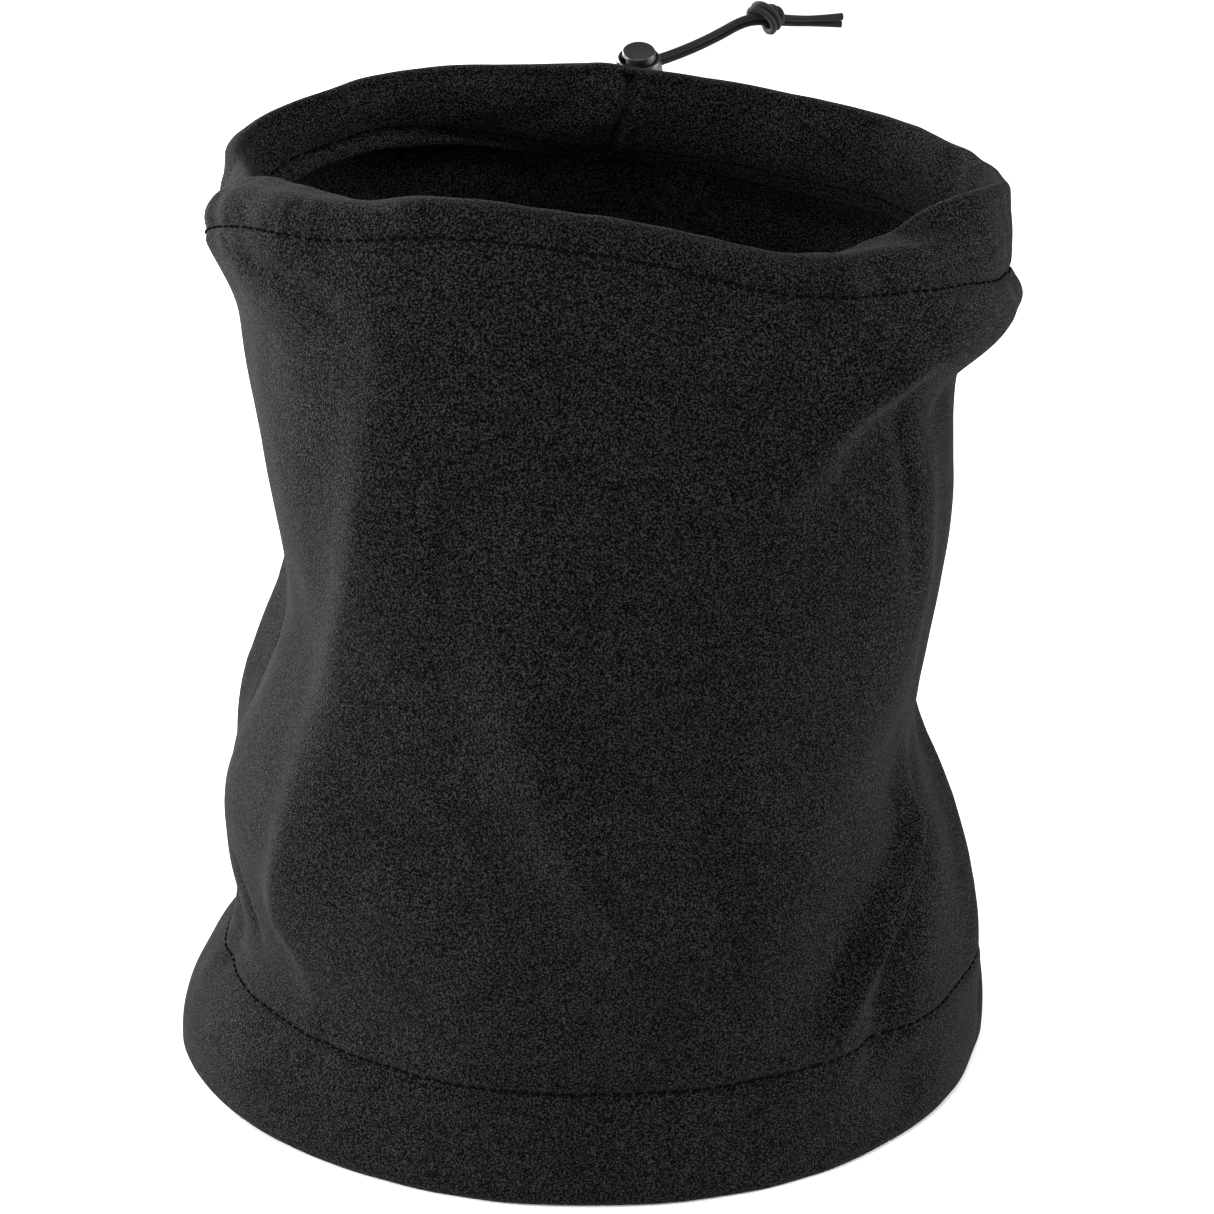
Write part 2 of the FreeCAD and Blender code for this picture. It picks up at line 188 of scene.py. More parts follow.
# The cloth's grid. Rows run from the hem's foot over the rim and down the inside.
COLUMNS = 540
COLUMN_STEP = 1.25
ROW_STEP = 1.2
BAND_STEP = 1.0
HEM_ROWS = 42
BODY_ROWS = 190
BAND_ROWS = 22
CASING_ROWS = 27
EDGE_ROWS = 5
WALL_ROWS = 62
INNER_HEM_ROWS = 15
TURNING = 2.2  # rows that the casing's edge reaches below the stitch line
ROUND_EDGE = np.radians([30, 60, 90, 120, 150])
PHI = np.arange(COLUMNS) * 360.0 / COLUMNS - 180.0


def waves(rows, seed, row_size, column_size, row_step):
    """Smooth seeded unevenness, about -2 to 2, that closes round the tube."""
    noise = np.random.default_rng(seed).standard_normal((rows, COLUMNS))
    fr = np.fft.fftfreq(rows, row_step)[:, None]
    fc = np.fft.rfftfreq(COLUMNS, COLUMN_STEP)[None, :]
    soft = np.exp(-2 * (np.pi * fr * row_size) ** 2 - 2 * (np.pi * fc * column_size) ** 2)
    field = np.fft.irfft2(np.fft.rfft2(noise) * soft, (rows, COLUMNS))
    return field / field.std()


def plain_point(phi, z):
    """Side and depth of the tube without its folds."""
    t = np.radians(phi)
    s, c = np.sin(t), np.cos(t)
    a = np.where(s > 0, along_height(RIGHT, z), along_height(LEFT, z))
    b = np.where(c > 0, along_height(FRONT, z), along_height(BACK, z))
    n = along_height(SQUARENESS, z)
    r = (np.abs(s) ** n + np.abs(c) ** n) ** (-1 / n)
    return a * s * r, -b * c * r


def flat_normal(x, y):
    """Outward direction in the level plane, along closed rows of points."""
    tx = np.roll(x, -1, -1) - np.roll(x, 1, -1)
    ty = np.roll(y, -1, -1) - np.roll(y, 1, -1)
    size = np.hypot(tx, ty)
    return ty / size, -tx / size


def outer_cloth():
    """Rows of points of the outside, from the hem's foot up to the rim."""
    seam_height = round_tube(STITCH, PHI)
    share = np.linspace(0, 1, BODY_ROWS + 1)[1:, None]
    low = np.repeat(np.arange(HEM_ROWS)[:, None], COLUMNS, 1).astype(float)
    z = np.concatenate([low, low[-1] + share * (seam_height[None, :] - low[-1])])
    phi = np.broadcast_to(PHI, z.shape)
    x, y = plain_point(phi, z)
    nx, ny = flat_normal(x, y)
    out = sum(stroke(phi, z, *fold) for fold in FOLDS)
    rows = len(z)
    # broad and small unevenness, then the dents of the two stitch lines
    out = out + 0.55 * waves(rows, 11, 22, 13, ROW_STEP)
    out = out + 0.16 * waves(rows, 12, 7, 5, ROW_STEP)
    hem_line = z - HEM
    pucker = 0.22 * waves(rows, 13, 9, 2.6, ROW_STEP)
    out = out - 0.95 * bell(hem_line, 0.9)
    out = out + pucker * bell(hem_line, 6.0)
    out = out + 0.35 * bell(hem_line + 5, 4.0)
    top_line = z - seam_height[None, :]
    out = out - 1.25 * bell(top_line, 1.0)
    out = out + 0.22 * waves(rows, 14, 9, 2.6, ROW_STEP) * bell(top_line, 6.0)
    # the rounded foot and the groove of the back seam
    foot = np.clip(z / 3.0, 0, 1)
    out = out - 1.6 * (1 - foot) ** 2
    seam = turn_from(179.4, phi) * BACK_DEGREE
    out = out - 0.7 * bell(seam, 0.9)
    body = np.stack([x + nx * out, y + ny * out, z], -1)
    # the band above the stitch line
    steps = np.arange(1, BAND_ROWS + 1)
    deep = round_tube(DEPTH, PHI, 6)[None, :] / BAND_ROWS
    curl = np.radians(round_tube(CURL, PHI, 6))
    lean = np.radians(round_tube(LEAN, PHI, 6))
    bx, by = body[-1, :, 0], body[-1, :, 1]
    hx, hy = nx[-1], ny[-1]
    turned = np.clip((steps[:, None] - 1.5) / 13.0, 0, 1) ** 1.15
    angle = lean[None, :] + curl[None, :] * turned
    rise = np.cumsum(np.cos(angle), 0) * deep
    inward = np.cumsum(np.sin(angle), 0) * deep
    swell = 0.6 * np.sin(np.pi * np.clip(steps / 16, 0, 1))[:, None]
    swell = swell + 0.45 * waves(BAND_ROWS, 15, 9, 7, BAND_STEP)
    swell = swell + 0.14 * waves(BAND_ROWS, 16, 4, 3, BAND_STEP)
    swell = swell * np.clip(steps / 3, 0, 1)[:, None]
    # the cord's slit, a dent beside the seam
    beside = turn_from(179.2, PHI[None, :]) * BACK_DEGREE
    dent = np.exp(-(beside / 1.9) ** 2) * np.exp(-(((steps - 15.5) / 3.4) ** 2))[:, None]
    swell = swell - 3.0 * dent
    band_x = bx + hx * (swell * np.cos(angle) - inward)
    band_y = by + hy * (swell * np.cos(angle) - inward)
    band_z = body[-1, :, 2] + rise + swell * np.sin(angle)
    return np.concatenate([body, np.stack([band_x, band_y, band_z], -1)]), rows


def soften(points, rows_size, columns_size):
    """Rows of points blurred along and round the tube, both ends kept in place."""
    rows = points.shape[0]
    reach = int(3 * rows_size) + 1
    kernel = bell(np.arange(-reach, reach + 1), rows_size)
    kernel /= kernel.sum()
    before = 2 * points[:1] - points[reach:0:-1]
    after = 2 * points[-1:] - points[-2:-reach - 2:-1]
    padded = np.concatenate([before, points, after])
    smooth = sum(kernel[i] * padded[i:i + rows] for i in range(2 * reach + 1))
    offsets = np.minimum(np.arange(COLUMNS), COLUMNS - np.arange(COLUMNS))
    ring = bell(offsets, columns_size)
    ring = np.fft.rfft(ring / ring.sum())[None, :, None]
    return np.fft.irfft(np.fft.rfft(smooth, axis=1) * ring, COLUMNS, axis=1)


def normals(points):
    du = np.roll(points, -1, 1) - np.roll(points, 1, 1)
    dv = np.gradient(points, axis=0)
    n = np.cross(du, dv)
    return n / np.linalg.norm(n, axis=-1, keepdims=True)


def fleece_rows():
    """All rings of points of the folded, sewn cloth, in order round its section."""
    outside, seam_row = outer_cloth()
    core = soften(outside, 2.2, 2.2)
    inward = -normals(soften(outside, 3.0, 3.0))
    top = len(outside) - 1
    # how far the casing's cut edge stands off the wall inside
    gaps = [
        (-180, 0.3), (-168, 0.8), (-152, 3.0), (-132, 4.0), (-115, 2.8), (-90, 0.5), (0, 0.2),
        (90, 0.1), (130, 0.1), (160, 0.1),
    ]
    standoff = round_tube(gaps, PHI, 6)[:, None]
    seam_strip = turn_from(180.5, PHI)[:, None] * BACK_DEGREE
    strip = 2.3 / (1 + np.exp(np.clip((np.abs(seam_strip) - 2.4) / 0.35, -30, 30)))

    def layer(row, depth):
        """A ring of points that lies inside a row of the outer cloth."""
        low = int(math.floor(row))
        part = row - low
        high = min(low + 1, top)
        p = core[low] * (1 - part) + core[high] * part
        n = inward[low] * (1 - part) + inward[high] * part
        return p + n * depth

    rings = [outside[i] for i in range(len(outside))]
    casing = (6.2 + 2.5 * np.exp(-(((PHI + 360) % 360 - 180) / 17.0) ** 2))[:, None]
    tip = core[top] - core[top - 2]
    tip = tip / np.linalg.norm(tip, axis=-1, keepdims=True)
    for turn in ROUND_EDGE:
        middle = layer(top, casing * 0.42)
        across = inward[top] * casing * 0.42 * math.cos(turn)
        rings.append(middle - across + tip * 2.3 * math.sin(turn))
    # the casing's inner layer, from the rim down to its stitched edge
    ripple = 0.5 * waves(CASING_ROWS, 21, 8, 6, BAND_STEP)
    steps = np.linspace(BAND_ROWS, -TURNING, CASING_ROWS)
    height = np.repeat(steps[:, None], COLUMNS, 1)
    around = np.broadcast_to(PHI, height.shape)
    pucker = stroke(around, height, [(-178, 20), (-173, 12), (-167, 4)], -1.3, 4.5, 3.5)
    pucker = pucker + stroke(around, height, [(-184, 18), (-180, 10), (-175, 3)], 1.5, 4, 4)
    pucker = pucker + stroke(around, height, [(-168, 20), (-163, 11), (-160, 3)], 1.6, 4, 7)
    from_seam = turn_from(178.6 - 3.2 * height / BAND_ROWS, around) * BACK_DEGREE
    pucker = pucker - 2.0 * bell(from_seam, 1.1) + 0.9 * bell(np.abs(from_seam) - 2.8, 1.2)
    for i, step in enumerate(steps):
        press = math.exp(-0.5 * ((step - 0.6) / 1.1) ** 2)
        bulge = casing * (0.6 + 0.5 * math.sin(math.pi * min(max((24 - step) / 28, 0), 1)))
        depth = bulge - 0.6 * press + ripple[i][:, None] * 0.6 + pucker[i][:, None]
        if step < 0:
            depth = FABRIC * 2 + 0.3 + standoff * min(1, -step / TURNING)
        rings.append(layer(seam_row - 1 + step, depth))
    # round the cut edge to the wall
    edge = FABRIC * 2 + 0.3 + standoff
    turned_edge = [
        (2.8, edge - 0.5), (2.9, edge - 1.4), (2.2, edge - 2.0), (0.9, FABRIC + 0.25),
        (2.2, FABRIC + strip * 0.4),
    ]
    assert len(turned_edge) == EDGE_ROWS
    for below, depth in turned_edge:
        rings.append(layer(seam_row - 1 - below, depth))
    # down the wall, round the hem's cut edge and down the hem to its foot
    hem_row = 37.0
    for row in np.linspace(seam_row - 4.5, hem_row + 1.5, WALL_ROWS):
        rings.append(layer(row, FABRIC + strip))
    rings.append(layer(hem_row + 0.6, FABRIC + 0.2 + strip))
    rings.append(layer(hem_row + 0.3, FABRIC * 2 - 0.5 + strip))
    rings.append(layer(hem_row - 0.8, FABRIC * 2 + 0.2 + strip))
    for row in np.linspace(hem_row - 3, 2.0, INNER_HEM_ROWS):
        rings.append(layer(row, FABRIC * 2 + 0.1 + strip * 0.7))
    for turn in ROUND_EDGE:
        ring = layer(2.0, FABRIC + FABRIC * math.cos(turn))
        ring[:, 2] = 2.0 - 2.0 * math.sin(turn)
        rings.append(ring)
    return np.stack(rings), outside, inward, seam_row


# --- meshes ---------------------------------------------------------------------------
def mesh_object(name, points, faces, smooth=True):
    mesh = bpy.data.meshes.new(name)
    mesh.from_pydata([tuple(p) for p in points], [], [tuple(f) for f in faces])
    mesh.update()
    if smooth:
        mesh.shade_smooth()
    obj = bpy.data.objects.new(name, mesh)
    bpy.context.scene.collection.objects.link(obj)
    return obj


def ring_faces(rows, columns, close_rows=True):
    i = np.arange(rows if close_rows else rows - 1)[:, None]
    j = np.arange(columns)[None, :]
    up, right = (i + 1) % rows, (j + 1) % columns
    corners = [i * columns + j, i * columns + right, up * columns + right, up * columns + j]
    return np.stack(corners, -1).reshape(-1, 4)


def tube_mesh(path, radius, sides=6, closed=False, normal=None):
    """Points and faces of a tube along a path, with capped ends."""
    path = np.asarray(path, float)
    count = len(path)
    if closed:
        tangent = np.roll(path, -1, 0) - np.roll(path, 1, 0)
    else:
        tangent = np.gradient(path, axis=0)
    tangent /= np.linalg.norm(tangent, axis=1, keepdims=True)
    if normal is None:
        normal = np.cross(tangent, np.roll(tangent, 1, 1) + 0.31)
    side = np.cross(tangent, normal)
    side /= np.linalg.norm(side, axis=1, keepdims=True)
    up = np.cross(side, tangent)
    turn = np.arange(sides) * 2 * math.pi / sides
    radius = np.broadcast_to(np.asarray(radius, float).reshape(-1, 1, 1), (count, 1, 1))
    ring = side[:, None, :] * np.cos(turn)[None, :, None] + up[:, None, :] * np.sin(turn)[None, :, None]
    points = (path[:, None, :] + ring * radius).reshape(-1, 3)
    faces = [list(f) for f in ring_faces(count, sides, closed)]
    if not closed:
        faces.append(list(range(sides))[::-1])
        faces.append([(count - 1) * sides + k for k in range(sides)])
    return points, faces


def joined(name, parts):
    points, faces, base = [], [], 0
    for p, f in parts:
        points.append(p)
        faces.extend([[k + base for k in face] for face in f])
        base += len(p)
    return mesh_object(name, np.concatenate(points) * MM, faces)


STITCH_PITCH = 3.1
STITCH_LENGTH = 2.5
THREAD_RADIUS = 0.3


def stitch_row(name, path, outward, lift):
    """One row of separate stitches along a closed path."""
    legs = np.linalg.norm(np.roll(path, -1, 0) - path, axis=1)
    run = np.concatenate([[0], np.cumsum(legs)])
    count = int(run[-1] / STITCH_PITCH)
    closed_path = np.vstack([path, path[:1]])
    closed_out = np.vstack([outward, outward[:1]])
    rng = np.random.default_rng(len(name))
    parts = []
    for k in range(count):
        start = (k + 0.08 * rng.standard_normal()) * run[-1] / count
        at = start + np.linspace(0, STITCH_LENGTH, 6)
        at = np.mod(at, run[-1])
        p = np.stack([np.interp(at, run, closed_path[:, c]) for c in range(3)], 1)
        n = np.stack([np.interp(at, run, closed_out[:, c]) for c in range(3)], 1)
        arch = np.array([-0.55, 0.0, 0.16, 0.16, 0.0, -0.55])[:, None]
        size = THREAD_RADIUS * np.array([0.8, 1.0, 1.05, 1.05, 1.0, 0.8])
        parts.append(tube_mesh(p + n * (lift + arch * 1.3), size, 6, False, n))
    return joined(name, parts)


# --- materials ------------------------------------------------------------------
def new_material(name):
    material = bpy.data.materials.new(name)
    material.use_nodes = True
    nodes = material.node_tree.nodes
    return material, nodes, material.node_tree.links, nodes["Principled BSDF"]


def node(nodes, kind, **values):
    made = nodes.new(kind)
    for key, value in values.items():
        if key in made.inputs:
            made.inputs[key].default_value = value
        else:
            setattr(made, key, value)
    return made


def ramp(nodes, stops):
    made = nodes.new("ShaderNodeValToRGB")
    made.color_ramp.elements[0].position = stops[0][0]
    made.color_ramp.elements[0].color = (*stops[0][1], 1)
    made.color_ramp.elements[1].position = stops[-1][0]
    made.color_ramp.elements[1].color = (*stops[-1][1], 1)
    for place, colour in stops[1:-1]:
        made.color_ramp.elements.new(place).color = (*colour, 1)
    return made


def fleece_material():
    material, nodes, links, shader = new_material("microfleece")
    where = nodes.new("ShaderNodeTexCoord")
    curls = node(nodes, "ShaderNodeTexNoise", Scale=2000.0, Detail=2.0, Roughness=0.55, Distortion=0.2)
    tufts = node(nodes, "ShaderNodeTexVoronoi", Scale=1850.0, Randomness=1.0)
    cloudy = node(nodes, "ShaderNodeTexNoise", Scale=60.0, Detail=4.0, Roughness=0.6)
    for texture in (curls, tufts, cloudy):
        links.new(where.outputs["Object"], texture.inputs["Vector"])
    height = node(nodes, "ShaderNodeMath", operation="MULTIPLY_ADD")
    links.new(tufts.outputs["Distance"], height.inputs[0])
    height.inputs[1].default_value = -0.30
    links.new(curls.outputs["Fac"], height.inputs[2])
    # Painted shade and light: the nap's colour follows the bump's height, near black in the pile's hollows
    # and lighter on the tufts, standing in for the shade and light between the fibres.
    dark, middle, light = (0.0001, 0.0001, 0.0001), (0.0029, 0.0029, 0.0030), (0.0225, 0.0225, 0.0232)
    nap_painted_shade = ramp(nodes, [(0.24, dark), (0.34, middle), (0.49, light)])
    links.new(height.outputs[0], nap_painted_shade.inputs["Fac"])
    patch = ramp(nodes, [(0.3, (0.84, 0.84, 0.84)), (0.7, (1.16, 1.16, 1.16))])
    links.new(cloudy.outputs["Fac"], patch.inputs["Fac"])
    mix = node(nodes, "ShaderNodeMix", data_type="RGBA", blend_type="MULTIPLY")
    mix.inputs[0].default_value = 1.0
    links.new(nap_painted_shade.outputs["Color"], mix.inputs[6])
    links.new(patch.outputs["Color"], mix.inputs[7])
    links.new(mix.outputs[2], shader.inputs["Base Color"])
    bump = node(nodes, "ShaderNodeBump", Strength=0.8, Distance=0.0008)
    links.new(height.outputs[0], bump.inputs["Height"])
    links.new(bump.outputs["Normal"], shader.inputs["Normal"])
    shader.inputs["Roughness"].default_value = 0.95
    shader.inputs["Specular IOR Level"].default_value = 0.035
    shader.inputs["Sheen Weight"].default_value = 0.055
    shader.inputs["Sheen Roughness"].default_value = 0.3
    shader.inputs["Sheen Tint"].default_value = (0.62, 0.62, 0.64, 1)
    return material


def thread_material():
    material, nodes, links, shader = new_material("polyester_thread")
    where = nodes.new("ShaderNodeTexCoord")
    plies = node(nodes, "ShaderNodeTexWave", Scale=900.0, Distortion=1.2)
    links.new(where.outputs["Object"], plies.inputs["Vector"])
    colour = ramp(nodes, [(0.2, (0.0012, 0.0012, 0.0012)), (0.9, (0.0042, 0.0042, 0.0043))])
    links.new(plies.outputs["Fac"], colour.inputs["Fac"])
    links.new(colour.outputs["Color"], shader.inputs["Base Color"])
    bump = node(nodes, "ShaderNodeBump", Strength=0.5, Distance=0.0001)
    links.new(plies.outputs["Fac"], bump.inputs["Height"])
    links.new(bump.outputs["Normal"], shader.inputs["Normal"])
    shader.inputs["Roughness"].default_value = 0.9
    shader.inputs["Specular IOR Level"].default_value = 0.0
    return material


def cord_material():
    """Fine braid: two families of diagonal yarns round the cord."""
    material, nodes, links, shader = new_material("braided_cord")
    where = nodes.new("ShaderNodeTexCoord")
    split = nodes.new("ShaderNodeSeparateXYZ")
    links.new(where.outputs["UV"], split.inputs[0])
    yarns = []
    for sense in (1.0, -1.0):
        lengthwise = node(nodes, "ShaderNodeMath", operation="MULTIPLY")
        links.new(split.outputs["X"], lengthwise.inputs[0])
        lengthwise.inputs[1].default_value = 2 * math.pi * 95
        across = node(nodes, "ShaderNodeMath", operation="MULTIPLY_ADD")
        links.new(split.outputs["Y"], across.inputs[0])
        across.inputs[1].default_value = sense * 2 * math.pi * 8
        links.new(lengthwise.outputs[0], across.inputs[2])
        wave = node(nodes, "ShaderNodeMath", operation="SINE")
        links.new(across.outputs[0], wave.inputs[0])
        yarns.append(wave)
    top = node(nodes, "ShaderNodeMath", operation="MAXIMUM")
    links.new(yarns[0].outputs[0], top.inputs[0])
    links.new(yarns[1].outputs[0], top.inputs[1])
    grain = node(nodes, "ShaderNodeTexNoise", Scale=3000.0, Detail=2.0)
    links.new(where.outputs["Object"], grain.inputs["Vector"])
    height = node(nodes, "ShaderNodeMath", operation="MULTIPLY_ADD")
    links.new(grain.outputs["Fac"], height.inputs[0])
    height.inputs[1].default_value = 1.2
    links.new(top.outputs[0], height.inputs[2])
    # Painted shade and light: the braid's colour follows its height, darkest in the gaps between the yarns
    # and lightest on their crowns.
    dark, middle, light = (0.0008, 0.0008, 0.0008), (0.005, 0.005, 0.0052), (0.028, 0.028, 0.029)
    colour = ramp(nodes, [(0.1, dark), (0.5, middle), (0.95, light)])
    scaled = node(nodes, "ShaderNodeMath", operation="MULTIPLY")
    links.new(height.outputs[0], scaled.inputs[0])
    scaled.inputs[1].default_value = 0.5
    links.new(scaled.outputs[0], colour.inputs["Fac"])
    links.new(colour.outputs["Color"], shader.inputs["Base Color"])
    bump = node(nodes, "ShaderNodeBump", Strength=0.6, Distance=0.00016)
    links.new(height.outputs[0], bump.inputs["Height"])
    links.new(bump.outputs["Normal"], shader.inputs["Normal"])
    shader.inputs["Roughness"].default_value = 0.6
    shader.inputs["Sheen Weight"].default_value = 0.03
    shader.inputs["Specular IOR Level"].default_value = 0.12
    return material


def plastic_material():
    material, nodes, links, shader = new_material("moulded_plastic")
    where = nodes.new("ShaderNodeTexCoord")
    grain = node(nodes, "ShaderNodeTexNoise", Scale=2200.0, Detail=3.0, Roughness=0.6)
    wear = node(nodes, "ShaderNodeTexNoise", Scale=260.0, Detail=4.0)
    for texture in (grain, wear):
        links.new(where.outputs["Object"], texture.inputs["Vector"])
    colour = ramp(nodes, [(0.3, (0.0035, 0.0035, 0.0037)), (0.75, (0.006, 0.006, 0.0063))])
    links.new(wear.outputs["Fac"], colour.inputs["Fac"])
    links.new(colour.outputs["Color"], shader.inputs["Base Color"])
    rough = ramp(nodes, [(0.3, (0.34, 0.34, 0.34)), (0.75, (0.46, 0.46, 0.46))])
    links.new(wear.outputs["Fac"], rough.inputs["Fac"])
    links.new(rough.outputs["Color"], shader.inputs["Roughness"])
    bump = node(nodes, "ShaderNodeBump", Strength=0.18, Distance=0.00008)
    links.new(grain.outputs["Fac"], bump.inputs["Height"])
    links.new(bump.outputs["Normal"], shader.inputs["Normal"])
    return material


def steel_material():
    material, nodes, links, shader = new_material("spring_wire")
    where = nodes.new("ShaderNodeTexCoord")
    draw = node(nodes, "ShaderNodeTexNoise", Scale=1500.0, Detail=3.0)
    links.new(where.outputs["Object"], draw.inputs["Vector"])
    rough = ramp(nodes, [(0.3, (0.22, 0.22, 0.22)), (0.7, (0.42, 0.42, 0.42))])
    links.new(draw.outputs["Fac"], rough.inputs["Fac"])
    links.new(rough.outputs["Color"], shader.inputs["Roughness"])
    shader.inputs["Base Color"].default_value = (0.6, 0.6, 0.62, 1)
    shader.inputs["Metallic"].default_value = 1.0
    bump = node(nodes, "ShaderNodeBump", Strength=0.1, Distance=0.00005)
    links.new(draw.outputs["Fac"], bump.inputs["Height"])
    links.new(bump.outputs["Normal"], shader.inputs["Normal"])
    return material


def floor_material():
    material, nodes, links, shader = new_material("pale_floor")
    where = nodes.new("ShaderNodeTexCoord")
    mottle = node(nodes, "ShaderNodeTexNoise", Scale=9.0, Detail=3.0)
    links.new(where.outputs["Object"], mottle.inputs["Vector"])
    colour = ramp(nodes, [(0.3, (0.90, 0.90, 0.90)), (0.7, (0.93, 0.93, 0.93))])
    links.new(mottle.outputs["Fac"], colour.inputs["Fac"])
    links.new(colour.outputs["Color"], shader.inputs["Base Color"])
    shader.inputs["Roughness"].default_value = 0.9
    return material


FLEECE = fleece_material()
THREAD = thread_material()
CORD_BRAID = cord_material()
PLASTIC = plastic_material()
STEEL = steel_material()


def finish_piece(obj, material, body, slot_name, *replaced):
    obj.data.materials.clear()
    obj.data.materials.append(material)
    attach(obj, body)
    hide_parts(*replaced)
    return obj


# --- the cloth and its stitching ------------------------------------------------
RINGS, OUTSIDE, INWARD, SEAM_ROW = fleece_rows()


def build_fleece():
    rows = RINGS.shape[0]
    obj = mesh_object("fleece_tube", RINGS.reshape(-1, 3) * MM, ring_faces(rows, COLUMNS))
    return finish_piece(obj, FLEECE, "gaiter", "fleece", "fleece_panel")


# first rings of the casing's inner layer, of the wall and of the hem's inner layer
CASING_TOP = len(OUTSIDE) + len(ROUND_EDGE)
WALL_TOP = CASING_TOP + CASING_ROWS + EDGE_ROWS
INNER_HEM_TOP = len(RINGS) - len(ROUND_EDGE) - INNER_HEM_ROWS


def build_stitching():
    out = -INWARD
    top_out = out[SEAM_ROW - 1]
    hem_out = out[34]
    hem = 0.5 * (OUTSIDE[34] + OUTSIDE[35])
    lines = [
        ("casing_stitches_outside", OUTSIDE[SEAM_ROW - 1], top_out, 0.12, "casing_needle_thread"),
        ("casing_stitches_inside", RINGS[CASING_TOP + 22], -top_out, 0.15, "casing_bobbin_thread"),
        ("hem_stitches_outside", hem, hem_out, 0.12, "hem_needle_thread"),
        ("hem_stitches_inside", RINGS[INNER_HEM_TOP], -hem_out, 0.1, "hem_bobbin_thread"),
    ]
    for name, path, outward, lift, cad in lines:
        obj = stitch_row(name, path, outward, lift)
        finish_piece(obj, THREAD, "gaiter", "thread", cad)


def build_seam_thread():
    """Overlock thread: slanted passes over the seam allowance, from side to side."""
    count, pitch, half_wide = 60, 2.4, 2.6
    column = round((180.5 - 180) / 360 * COLUMNS)
    wall = RINGS[WALL_TOP:WALL_TOP + count]
    line = wall[:, column]
    across = wall[:, (column + 2) % COLUMNS] - wall[:, (column - 2) % COLUMNS]
    across /= np.linalg.norm(across, axis=1, keepdims=True)
    out = np.array([[0.0, -1.0, 0.0]])
    legs = np.concatenate([[0], np.cumsum(np.linalg.norm(np.diff(line, axis=0), axis=1))])
    reach = np.array([-1.0, -0.75, -0.25, 0.25, 0.75, 1.0])[:, None] * half_wide
    lift = np.array([-1.2, 0.25, 0.3, 0.3, 0.25, -1.2])[:, None]
    parts = []
    for k in range(int(legs[-1] / pitch) - 1):
        at = (k + np.array([0.1, 0.25, 0.4, 0.6, 0.75, 0.9])) * pitch
        p = np.stack([np.interp(at, legs, line[:, c]) for c in range(3)], 1)
        a = np.stack([np.interp(at, legs, across[:, c]) for c in range(3)], 1)
        parts.append(tube_mesh(p + a * reach + out * lift, 0.2, 6))
    obj = joined("seam_overlock_stitches", parts)
    finish_piece(obj, THREAD, "gaiter", "thread", "seam_overlock_thread")


def build_bartack():
    """Eleven short bars of thread, one above another, below the cord's slit."""
    centre = OUTSIDE[SEAM_ROW - 1 + 7, 0]
    count, half_wide, half_high = 11, 3.4, 0.9
    parts = []
    for k in range(count):
        z = centre[2] - half_high + 2 * half_high * k / (count - 1)
        lean = 0.25 * (-1) ** k
        x = np.linspace(-half_wide, half_wide, 8)
        bow = 0.35 - 0.9 * (np.abs(x) / half_wide) ** 6
        p = np.stack([centre[0] + x, centre[1] + bow, z + lean * x / half_wide], 1)
        parts.append(tube_mesh(p, 0.17, 6))
    obj = joined("bartack_stitches", parts)
    finish_piece(obj, THREAD, "gaiter", "thread", "opening_bartack")


# --- the lock's place and the bend of the cord through it ---------------------------
LEAN_BACK = math.radians(22)
TURN = math.radians(25)
LOCK = Vector((0.01143, 0.0941, 0.27184))
UP = Vector((0, -math.sin(LEAN_BACK), math.cos(LEAN_BACK)))
ACROSS = Vector((math.cos(TURN), math.sin(TURN), 0))
ALONG = (ACROSS - UP * ACROSS.dot(UP)).normalized()
SIDE = UP.cross(ALONG)
BEND = 90.0
HALF_STEP = 1.03  # half the distance between the two strands


def in_lock(x, y, z):
    return tuple(LOCK + (ALONG * x + SIDE * y + UP * z) * MM)


def on_bend(angle, y, z):
    """A place in the lock turned about the centre of the cord's bend."""
    return in_lock((BEND - z) * math.sin(angle), y, BEND - (BEND - z) * math.cos(angle))


# --- cord -----------------------------------------------------------------------------
CORD = 0.0020
BEND_RUNS = (-1.0, 8.0, 17.0, 26.0, 35.0)


def metres(points):
    return [tuple(c * MM for c in point) for point in points]


UPPER = metres([(-12.0, 75.17, 267.59), (-4.6, 77.6, 268.3)])
UPPER += [in_lock(-13.0, 0, HALF_STEP)]
UPPER += [on_bend(run / BEND, 0, HALF_STEP) for run in BEND_RUNS]
UPPER += metres([(49.2, 105.4, 284.5), (56.8, 107.2, 283.2)])
UPPER += metres([(64.7, 109.2, 282.7), (72.8, 111.2, 282.9)])
LOWER = metres([(11.0, 75.24, 267.64), (6.1, 76.5, 267.2), (2.2, 79.9, 266.9), (1.0, 84.9, 267.4)])
LOWER += [in_lock(-9.3, 0, -HALF_STEP)]
LOWER += [on_bend(run / BEND, 0, -HALF_STEP) for run in BEND_RUNS]
LOWER += metres([(49.2, 106.4, 282.4), (56.8, 108.7, 281.4)])
LOWER += metres([(64.7, 110.9, 280.8), (72.6, 112.6, 280.3)])


def curve_object(name, lines, size, swell_last=1.0):
    data = bpy.data.curves.new(name, "CURVE")
    data.dimensions = "3D"
    data.bevel_depth = size / 2
    data.bevel_resolution = 3
    data.resolution_u = 14
    data.use_fill_caps = True
    for line in lines:
        spline = data.splines.new("NURBS")
        spline.points.add(len(line) - 1)
        for point, place in zip(spline.points, line):
            point.co = (*place, 1)
        if swell_last > 1:
            for point, share in zip(spline.points[-3:], (1.0, 0.84, swell_last)):
                point.radius = share
        spline.order_u = 3
        spline.use_endpoint_u = True
    obj = bpy.data.objects.new(name, data)
    bpy.context.scene.collection.objects.link(obj)
    return obj


